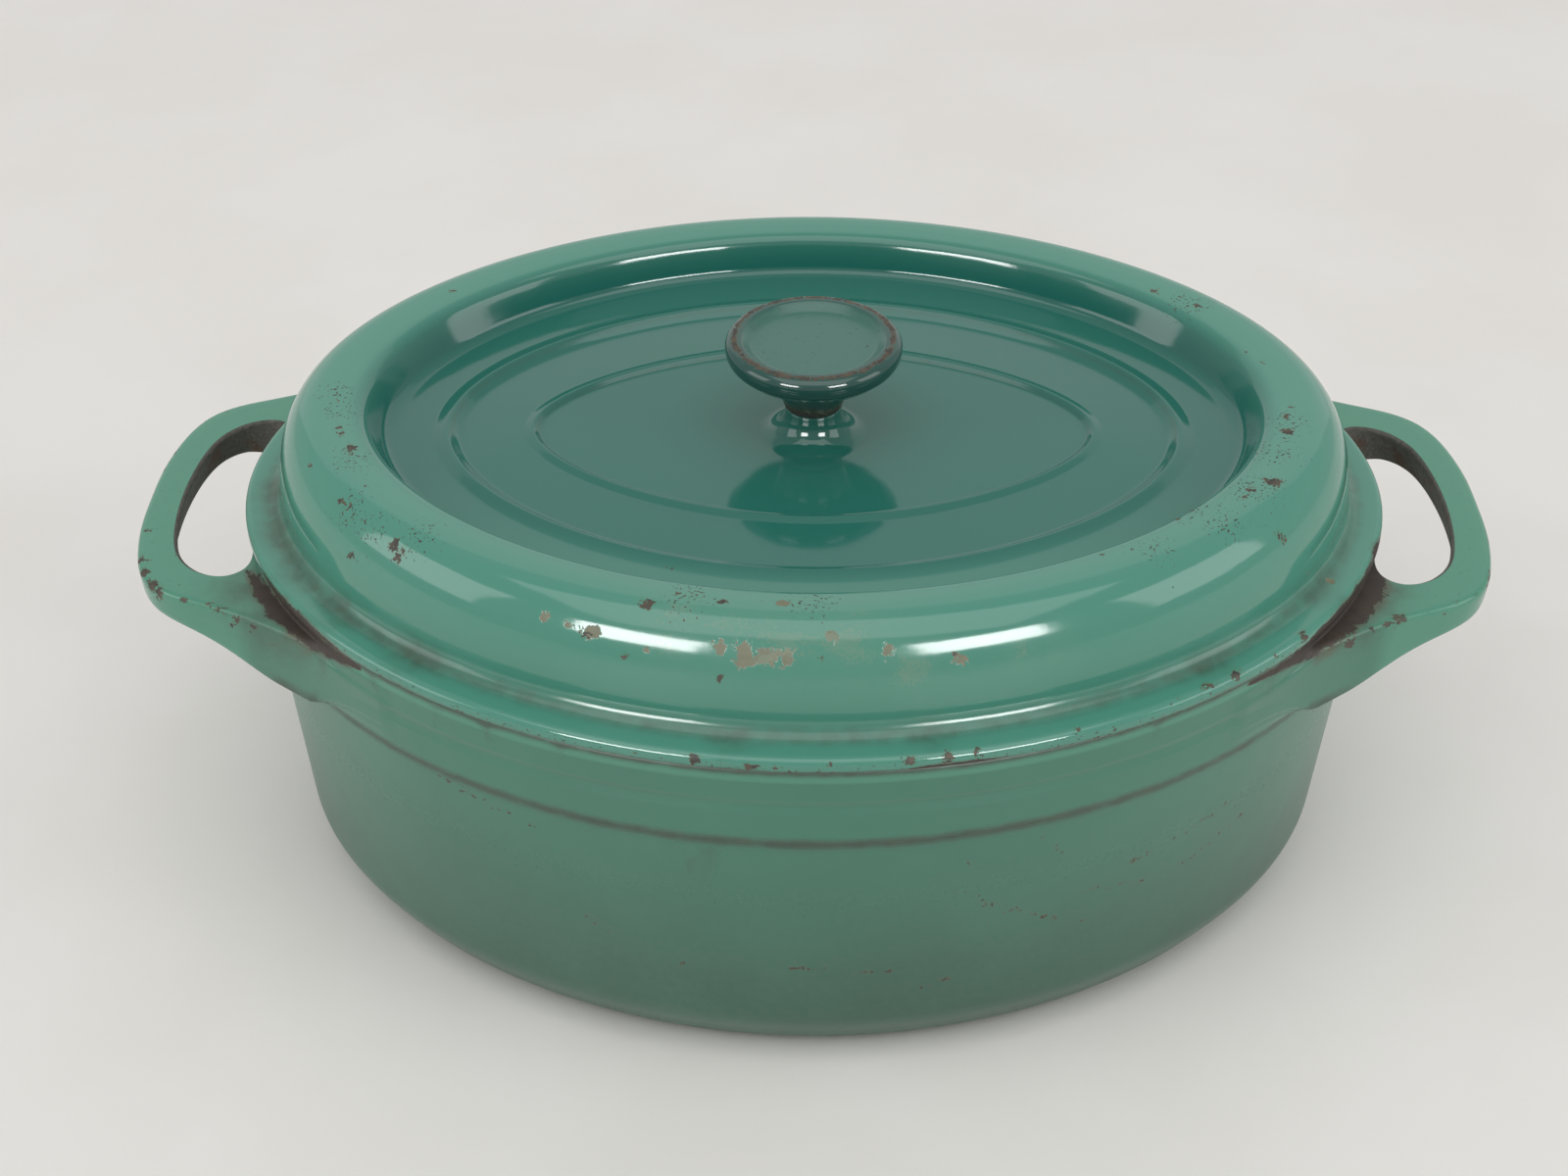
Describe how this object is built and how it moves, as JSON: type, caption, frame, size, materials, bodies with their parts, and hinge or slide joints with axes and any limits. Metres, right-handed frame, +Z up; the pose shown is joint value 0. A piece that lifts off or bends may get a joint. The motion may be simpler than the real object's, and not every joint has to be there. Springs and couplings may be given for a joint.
{
  "type": "dutch oven",
  "caption": "Oval enamelled cast iron dutch oven: pot with two cast loop handles and a lift-off domed lid with a sunken well and a screwed-on dished round knob.",
  "frame": {"origin": "middle of the flat base that the pot stands on", "axes": "+X along the oval through the two loop handles, +Y across it, +Z up through the lid's knob"},
  "size_m": [0.3798, 0.249, 0.1618],
  "materials": {
    "pot_enamel": "worn glossy vitreous enamel on cast iron",
    "lid_enamel": "worn glossy vitreous enamel on cast iron",
    "knob_enamel": "glossy dark enamel, worn to brown metal round the rim",
    "screw_steel": "dull zinc-plated steel",
    "washer_steel": "dull zinc-plated steel"
  },
  "bodies": {
    "pot": {"pot_body": "pot_enamel"},
    "lid": {"lid": "lid_enamel", "knob": "knob_enamel", "knob_screw": "screw_steel", "flat_washer": "washer_steel", "spring_washer": "washer_steel"}
  },
  "joints": [
    {"name": "lid_lift", "type": "slide", "parent": "pot", "child": "lid", "axis": [0, 0, 1], "range_m": [0, 0.2]}
  ]
}
